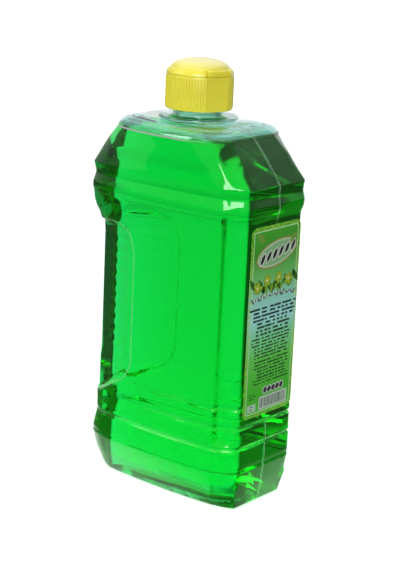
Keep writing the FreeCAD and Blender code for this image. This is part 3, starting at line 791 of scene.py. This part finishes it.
def rib_tree():
    """Upright beads round the skirt, tapered at both ends, with none on the flat or the recess."""
    tree, given = geometry_tree("grip_ribs", Int="Count", Float="Ring Bead Foot Top Flat Recess",
                                Vector="Hinge", Material="Material")
    ring = add_node(tree, "GeometryNodeMeshCircle", {
        "Vertices": given["Count"], "Radius": given["Ring"]})
    place = out(tree, "GeometryNodeInputPosition")
    towards = vectors(tree, "DOT_PRODUCT", place, given["Hinge"])
    on_flat = compared(tree, "GREATER_THAN", towards, given["Flat"])
    at_thumb = compared(tree, "LESS_THAN", towards, given["Recess"])
    left_off = out(tree, "FunctionNodeBooleanMath", {0: on_flat, 1: at_thumb}, operation="OR")
    kept = add_node(tree, "GeometryNodeDeleteGeometry", {0: ring.outputs[0], "Selection": left_off})
    line = out(tree, "GeometryNodeCurvePrimitiveLine", {
        "Start": joined(tree, Z=given["Foot"]), "End": joined(tree, Z=given["Top"])})
    fine = out(tree, "GeometryNodeResampleCurve", {0: line, "Count": 12})
    along = add_node(tree, "GeometryNodeSplineParameter").outputs["Factor"]
    swell = add_node(tree, "ShaderNodeFloatCurve", {"Value": along})
    bend = swell.mapping.curves[0]
    bend.points[0].location, bend.points[1].location = (0.0, 0.25), (1.0, 0.25)
    for spot in (0.1, 0.9):
        bend.points.new(spot, 1.0)
    swell.mapping.update()
    swollen = out(tree, "GeometryNodeSetCurveRadius", {0: fine, "Radius": swell.outputs[0]})
    round_bead = out(tree, "GeometryNodeCurvePrimitiveCircle", {
        "Resolution": 8, "Radius": given["Bead"]})
    bead = out(tree, "GeometryNodeCurveToMesh", {
        "Curve": swollen, "Profile Curve": round_bead, "Fill Caps": True})
    beads = add_node(tree, "GeometryNodeInstanceOnPoints", {
        "Points": kept.outputs[0], "Instance": bead})
    finish_tree(tree, beads.outputs[0], given["Material"])
    return tree


RIB_BEAD, RIB_MARGIN = 0.42 * MM, 0.9 * MM
ribs = grown("grip_ribs", rib_tree(), Count=72, Ring=cap_high[0] - RIB_BEAD, Bead=RIB_BEAD,
             Foot=SKIRT_FOOT + RIB_MARGIN, Top=PARTING - RIB_MARGIN, Hinge=hinge_way,
             Flat=HINGE_REACH - 0.1 * MM, Recess=-CAP_RADIUS + 0.9 * MM, Material=CAP_PLASTIC)
settle(ribs, "cap")

lid_foot = lid_low[2] + 0.42 * MM
LID_TOP = lid_high[2]
dome = [(14.1 * MM * math.cos(t), PARTING + 3.0 * MM + (LID_TOP - PARTING - 3.0 * MM) * math.sin(t))
        for t in np.linspace(0.04, math.pi / 2 - 0.02, 17)]
lid_profile = [
    (0.3 * MM, lid_low[2]), (1.95 * MM, lid_low[2]), (1.95 * MM, LID_TOP - 1.6 * MM),
    (11.6 * MM, PARTING + 3.2 * MM), (13.7 * MM, lid_foot + 1.2 * MM), (13.7 * MM, lid_foot),
    (CAP_RADIUS, lid_foot), (CAP_RADIUS, lid_foot + 1.3 * MM),
    (CAP_RADIUS - 1.0 * MM, PARTING + 2.7 * MM), (CAP_RADIUS - 1.4 * MM, PARTING + 2.95 * MM),
    *dome,
]
lid = turned_piece("flip_lid_shell", lid_profile, CAP_PLASTIC, HINGE_REACH, (0, 1))
SLOT_ASIDE, SLOT_HALF, SLOT_DEEP, SLOT_TOP = 6.1 * MM, 0.9 * MM, 1.7 * MM, PARTING + 4.6 * MM
for side in (-SLOT_ASIDE, SLOT_ASIDE):
    cut_away(lid, (side - SLOT_HALF, -2 * CAP_RADIUS, 0),
             (side + SLOT_HALF, -HINGE_REACH + SLOT_DEEP, SLOT_TOP), HINGE_TURN)
settle(lid, "lid", ["flip_lid"])

# -------- sealing disc and label

seal_low, seal_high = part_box("sealing_disc")
seal_radius = seal_high[0]
seal_profile = rounded([
    (3.2 * MM, seal_low[2]), (seal_radius, seal_low[2]), (seal_radius, seal_high[2]),
    (3.2 * MM, seal_high[2]), (3.2 * MM, seal_low[2] + 0.3 * MM),
], 0.2 * MM)
seal = turned_piece("sealing_ring", seal_profile, FOAM)
settle(seal, "seal", ["sealing_disc"])


def label_outline(inset, steps=8):
    """The label's rounded rectangle, drawn in by inset."""
    points = []
    radius = max(LABEL_ROUND - inset, 0.2 * MM)
    for corner, (sx, sz) in enumerate([(1, 1), (-1, 1), (-1, -1), (1, -1)]):
        cx = sx * (label_half - inset - radius)
        cz = (label_top - inset - radius) if sz > 0 else (label_bottom + inset + radius)
        for i in range(steps + 1):
            turn = math.pi / 2 * (corner + i / steps)
            points.append((cx + radius * math.cos(turn), cz + radius * math.sin(turn)))
    return points


edge = label_outline(0)
inner = label_outline(0.05 * MM)
label_rings = [[(x, label_high[1], z) for x, z in edge],
               [(x, label_low[1] + 0.03 * MM, z) for x, z in edge],
               [(x, label_low[1], z) for x, z in inner]]
count = len(edge)
label_points = [p for ring in label_rings for p in ring]
label_faces = ring_faces(3, count)
label_faces += [tuple(reversed(range(count))), tuple(range(2 * count, 3 * count))]
label = mesh_object("wrap_label", label_points, label_faces, FILM, 30)
settle(label, "bottle", ["front_label"])

PRINT_PLANE, PRINT_STEP = label_low[1] - 0.008 * MM, 0.004 * MM


def inked(piece, code):
    """Gives every point of a piece one ink."""
    colours = piece.data.attributes.new("ink", "FLOAT_COLOR", "POINT")
    colours.data.foreach_set("color", list(linear(code)) * len(piece.data.vertices))
    return piece


def print_shapes(name, shapes):
    """Flat printed shapes, each a list of (x, z) in mm with its ink and its layer."""
    points, faces, inks = [], [], []
    for outline, code, layer in shapes:
        faces.append(tuple(range(len(points), len(points) + len(outline))))
        points += [(x * MM, PRINT_PLANE - layer * PRINT_STEP, z * MM) for x, z in outline]
        inks += list(linear(code)) * len(outline)
    made = mesh_object(name, points, faces, INK)
    made.data.attributes.new("ink", "FLOAT_COLOR", "POINT").data.foreach_set("color", inks)
    settle(made, "bottle")


def oval(x, z, wide, tall, tilt=0.0, steps=40, point=0.0):
    """Outline of an oval, drawn out to points at its ends by point."""
    turn, outline = math.radians(tilt), []
    for i in range(steps):
        t = 2 * math.pi * i / steps
        u, v = wide * math.cos(t), tall * math.sin(t) * abs(math.sin(t)) ** point
        outline.append((x + u * math.cos(turn) - v * math.sin(turn),
                        z + u * math.sin(turn) + v * math.cos(turn)))
    return outline


def slab(low_x, low_z, high_x, high_z):
    """Outline of an upright oblong."""
    return [(low_x, low_z), (high_x, low_z), (high_x, high_z), (low_x, high_z)]


emblem = [(oval(1, 127, 16.2, 6.6, 9), "A88B4A", 0), (oval(1, 127, 15.5, 5.9, 9), "B7DDB4", 1),
          (oval(1, 127, 14.4, 4.9, 9), "8FC28B", 2)]
for k in range(6):
    spot = -11 + 4.8 * k
    lift = 127 + 0.16 * (spot - 1)
    emblem += [(oval(spot + 1, lift, 3.6, 1.75, 58, point=0.6), "EEF5EC", 3),
               (oval(spot + 1, lift, 3.1, 1.15, 58, point=0.6), "161C16", 4)]
for side, spot in ((-1, -12), (1, 14)):
    emblem += [(oval(spot, 134.2 - 1.5 * side, 3.4, 1.3, 40 * side, point=0.4), "A88B4A", 3),
               (oval(spot, 134.2 - 1.5 * side, 2.8, 0.8, 40 * side, point=0.4), "5FB43C", 4)]
for k, (spot, lift) in enumerate(((-13.2, 111.5), (-5.6, 114.2), (3.4, 114.6), (11.4, 112.6))):
    for petal in range(5):
        turn = math.radians(72 * petal + 25 * k)
        x, z = spot + 1.75 * math.cos(turn), lift + 1.75 * math.sin(turn)
        emblem += [(oval(x, z, 1.65, 1.25, 72 * petal + 25 * k), "6E9C1E", 6),
                   (oval(x, z, 1.4, 0.95, 72 * petal + 25 * k), "A6C832", 7)]
    emblem.append((oval(spot, lift, 0.8, 0.8), "E6EFA0", 8))
print_shapes("label_emblem", emblem)

foot_marks = [(slab(-7.2, 49.6, 15.6, 56.2), "CFE3D2", 0)]
spread, spot = np.random.default_rng(7), -6.2
while spot < 14.4:
    wide = 0.22 + 0.34 * spread.random()
    foot_marks.append((slab(spot, 50.4, spot + wide, 55.4), "274D3A", 1))
    spot += wide + 0.25 + 0.4 * spread.random()
for k in range(5):
    foot_marks += [(oval(-2.6 + 3.3 * k, 59.0, 2.1, 1.9, 62, point=0.3), "D8E6DA", 1),
                   (oval(-2.6 + 3.3 * k, 59.0, 1.7, 1.2, 62, point=0.3), "34303C", 2)]
foot_marks.append((slab(-16.4, 49.9, -9.6, 53.6), "B9DFC4", 0))
print_shapes("label_foot_print", foot_marks)


def word_tree():
    """Lines of short dark bars, each line centred, their lengths and gaps uneven like set words."""
    tree, given = geometry_tree("word_lines", Int="Columns Rows Seed",
                                Float="Wide Tall Bar Narrowing", Vector="Place",
                                Material="Material")
    grid = out(tree, "GeometryNodeMeshGrid", {
        "Size X": given["Wide"], "Size Y": given["Tall"], "Vertices X": given["Columns"],
        "Vertices Y": given["Rows"]})
    place = parts_of(tree, out(tree, "GeometryNodeInputPosition"))
    aside = maths(tree, "ABSOLUTE", place["X"])
    slope = times(tree, place["Y"], given["Narrowing"])
    limit = maths(tree, "ADD", slope, times(tree, given["Wide"], 0.42))
    outside = compared(tree, "GREATER_THAN", aside, limit)
    kept = out(tree, "GeometryNodeDeleteGeometry", {0: grid, "Selection": outside})
    long = random_value(tree, 0.45, 1.25, given["Seed"])
    drift = random_value(tree, -0.35, 0.35, given["Seed"])
    gap = maths(tree, "DIVIDE", given["Wide"], given["Columns"])
    bar = out(tree, "GeometryNodeMeshGrid", {
        "Size X": gap, "Size Y": given["Bar"], "Vertices X": 2, "Vertices Y": 2})
    strewn = out(tree, "GeometryNodeSetPosition", {
        0: kept, "Offset": joined(tree, X=times(tree, drift, gap))})
    words = out(tree, "GeometryNodeInstanceOnPoints", {
        "Points": strewn, "Instance": bar, "Scale": joined(tree, X=long, Y=1.0, Z=1.0)})
    finish_tree(tree, stood_up(tree, words, given["Place"]), given["Material"])
    return tree


def leaf_tree():
    """A garland of pointed leaves along an arc, each turned and sized a little differently."""
    tree, given = geometry_tree("leaf_garland", Int="Leaves Seed",
                                Float="Reach Sag Long Broad Lean", Vector="Place",
                                Material="Material")
    ends = [joined(tree, X=times(tree, given["Reach"], side)) for side in (-1.0, 1.0)]
    low = joined(tree, Y=times(tree, given["Sag"], -2.0))
    arc = out(tree, "GeometryNodeCurveQuadraticBezier", {
        "Start": ends[0], "Middle": low, "End": ends[1]})
    spots = add_node(tree, "GeometryNodeCurveToPoints", {0: arc, "Count": given["Leaves"]})
    disc = out(tree, "GeometryNodeMeshCircle", {"Vertices": 16, "Radius": 1.0}, fill_type="NGON")
    at = parts_of(tree, out(tree, "GeometryNodeInputPosition"))
    pointed = times(tree, at["Y"], maths(tree, "ABSOLUTE", at["Y"]))
    drawn = joined(tree, X=times(tree, at["X"], given["Long"]),
                   Y=times(tree, pointed, given["Broad"]))
    leaf = out(tree, "GeometryNodeSetPosition", {0: disc, "Position": drawn})
    number = out(tree, "GeometryNodeInputIndex")
    way = ranged(tree, maths(tree, "MODULO", number, 2.0), 0.0, 1.0, -1.0, 1.0)
    sway = random_value(tree, 0.7, 1.2, given["Seed"])
    lean = joined(tree, Z=times(tree, times(tree, way, given["Lean"]), sway))
    leaves = out(tree, "GeometryNodeInstanceOnPoints", {
        "Points": spots.outputs[0], "Instance": leaf, "Rotation": lean,
        "Scale": random_value(tree, 0.7, 1.1, given["Seed"])})
    finish_tree(tree, stood_up(tree, leaves, given["Place"]), given["Material"])
    return tree


def print_at(x, z, layer):
    """A place on the label, x and z in mm; higher layers lie further out."""
    return (x * MM, PRINT_PLANE - layer * PRINT_STEP, z * MM)


# Blocks of lines: width, height, columns, rows, bar, narrowing, and the middle's x and z, in mm
WORD_BLOCKS = (
    (36, 13.0, 12, 8, 1.0, 0.45, 0.5, 94.5), (34, 9.6, 14, 7, 0.75, 0.2, 0.0, 81.3),
    (30, 8.0, 13, 6, 0.75, 0.35, 1.0, 70.4), (32, 1.6, 13, 2, 0.6, 0.0, 1.5, 64.2),
    (8, 2.6, 4, 3, 0.5, 0.0, -13.0, 57.6), (6, 1.5, 3, 2, 0.5, 0.0, -13.0, 51.8))
# Garlands: leaves, reach, sag, length, breadth, lean, the middle's x and z in mm, and the ink
GARLANDS = (
    (11, 17.0, 2.4, 4.2, 1.5, 0.9, 0, 113.5, "2F6B20"),
    (8, 14.0, 2.0, 3.2, 1.1, 1.3, 0, 112.0, "7DB52E"),
    (16, 16.5, -1.2, 1.9, 0.75, 0.8, 0, 105.6, "5E7A76"),
    (15, 15.5, -1.2, 1.3, 0.4, 0.8, 0, 105.9, "E1EEE6"))

words, garland = word_tree(), leaf_tree()
for k, (wide, tall, columns, rows, bar, narrowing, x, z) in enumerate(WORD_BLOCKS):
    lines = grown("label_words_%d" % k, words, Wide=wide * MM, Tall=tall * MM, Columns=columns,
                  Rows=rows, Bar=bar * MM, Narrowing=narrowing, Place=print_at(x, z, 2),
                  Seed=k + 3, Material=INK)
    settle(inked(lines, "12341F"), "bottle")
for k, (leaves, reach, sag, long, broad, lean, x, z, code) in enumerate(GARLANDS):
    spray = grown("label_leaves_%d" % k, garland, Leaves=leaves, Reach=reach * MM, Sag=sag * MM,
                  Long=long * MM, Broad=broad * MM, Lean=lean,
                  Place=print_at(x, z, 4.5 + 0.3 * k), Seed=k + 11, Material=INK)
    settle(inked(spray, code), "bottle")

# -------- floor, light and camera

SWEEP_WAY = (0.906, 0.423, 0.0)
SWEEP_EDGE, SWEEP_FULL = 0.72, 0.85
ROOM, OVERHEAD = 0.42, 0.6
SHEET_MIDDLE = (0.055, 0.03, 0.0)
SHEET_EDGE = (0.085, 0.12)
GLASS_LIFT = 0.25
FLOOR_HALF = 3.0


def towards_sweep(tree, way):
    """One where a direction points to the white sweep behind the bottle, zero in the room."""
    towards = vectors(tree, "DOT_PRODUCT", way, SWEEP_WAY)
    return ranged(tree, towards, SWEEP_EDGE, SWEEP_FULL, smooth=True)


def larger(tree, first, second):
    """The larger of two values."""
    return maths(tree, "MAXIMUM", first, second)


def studio_paper(tree):
    """Matt paper, white under the bottle and in the sweep and all over to the camera; elsewhere
    the light meets a dark table."""
    rays = add_node(tree, "ShaderNodeLightPath").outputs
    place = object_place(tree)
    from_middle = vectors(tree, "DISTANCE", place, SHEET_MIDDLE)
    under_foot = ranged(tree, from_middle, *SHEET_EDGE, 1.0, 0.0, smooth=True)
    papered = larger(tree, towards_sweep(tree, vectors(tree, "NORMALIZE", place)), under_foot)
    shown_lift = ranged(tree, vectors(tree, "LENGTH", place), 0.2, 1.3, 0.5, 0.75, smooth=True)
    by_glass = larger(tree, rays["Is Glossy Ray"], rays["Is Transmission Ray"])
    glass_lift = times(tree, times(tree, by_glass, papered), GLASS_LIFT)
    camera_lift = times(tree, rays["Is Camera Ray"], shown_lift)
    paper = out(tree, "ShaderNodeBsdfDiffuse", {"Color": linear("F7F7F5")})
    table = out(tree, "ShaderNodeBsdfDiffuse", {"Color": linear("5A5C50")})
    sheet = mixed(tree, larger(tree, papered, rays["Is Camera Ray"]), table, paper)
    glow = out(tree, "ShaderNodeEmission", {
        "Color": linear("FFFFFF"), "Strength": larger(tree, camera_lift, glass_lift)})
    return out(tree, "ShaderNodeAddShader", {0: sheet, 1: glow})


half = FLOOR_HALF
floor = mesh_object("studio_floor", [(-half, -half, 0), (half, -half, 0), (half, half, 0),
                                     (-half, half, 0)], [(0, 1, 2, 3)],
                    new_material("matt_studio_paper", studio_paper))

world = bpy.data.worlds.new("white_studio")
bpy.context.scene.world = world
world.use_nodes = True
world.node_tree.nodes.clear()
sky = world.node_tree
sky_way = add_node(sky, "ShaderNodeTexCoord").outputs["Generated"]
overhead = ranged(sky, parts_of(sky, sky_way)["Z"], 0.4, 0.85, ROOM, OVERHEAD, smooth=True)
studio = out(sky, "ShaderNodeBackground", {
    "Color": linear("FFFFFF"),
    "Strength": larger(sky, towards_sweep(sky, sky_way), overhead)})
backdrop = out(sky, "ShaderNodeBackground", {"Color": linear("FFFFFF"), "Strength": 1.0})
by_camera = add_node(sky, "ShaderNodeLightPath").outputs["Is Camera Ray"]
add_node(sky, "ShaderNodeOutputWorld", {"Surface": mixed(sky, by_camera, studio, backdrop)})

bottle_middle = Vector((0, 0, 106.7 * MM))


def seen_from(azimuth, elevation):
    """The way from the bottle to an eye or a lamp; angles in degrees, azimuth 0 at the front."""
    a, e = math.radians(azimuth), math.radians(elevation)
    return Vector((math.sin(a) * math.cos(e), -math.cos(a) * math.cos(e), math.sin(e)))


def studio_lamp(name, azimuth, elevation, distance, width, height, power):
    """A soft oblong lamp that faces the bottle's middle."""
    data = bpy.data.lights.new(name, "AREA")
    data.shape = "RECTANGLE"
    data.size, data.size_y, data.energy = width, height, power
    back = seen_from(azimuth, elevation)
    lamp = placed(name, data)
    lamp.matrix_world = Matrix.Translation(bottle_middle + back * distance) @ (
        (-back).to_track_quat("-Z", "Y").to_matrix().to_4x4())


studio_lamp("key_softbox", -58, 24, 1.1, 0.4, 0.4, 7.6)
studio_lamp("side_softbox", -133, 33, 1.0, 0.25, 0.6, 2.4)
studio_lamp("back_softbox", 128, 66, 0.9, 1.1, 1.1, 1.7)

AZIMUTH, ELEVATION, ROLL = -51.65, 14.19, math.radians(2.63)
DISTANCE, LENS = 0.8202, 104.2
AIM_ASIDE, AIM_UP = 0.005545, -0.006333

camera_data = bpy.data.cameras.new("studio_camera")
camera_data.lens, camera_data.sensor_width = LENS, 36.0
camera_data.clip_start, camera_data.clip_end = 0.01, 20.0
camera = placed("studio_camera", camera_data)
back = seen_from(AZIMUTH, ELEVATION)
ahead = -back
aside = ahead.cross(UP).normalized()
ahead = (ahead + aside * AIM_ASIDE + aside.cross(ahead) * AIM_UP).normalized()
aside = ahead.cross(UP).normalized()
above = aside.cross(ahead)
right = aside * math.cos(ROLL) + above * math.sin(ROLL)
top = above * math.cos(ROLL) - aside * math.sin(ROLL)
turned = Matrix((right, top, -ahead)).transposed().to_4x4()
camera.matrix_world = Matrix.Translation(bottle_middle + back * DISTANCE) @ turned

BOUNCES = 24  # enough to follow light through wall, liquid and wall again
scene = bpy.context.scene
scene.camera = camera
scene.view_settings.view_transform = "Standard"
for kind in ("max_bounces", "transmission_bounces", "glossy_bounces", "transparent_max_bounces"):
    setattr(scene.cycles, kind, BOUNCES)
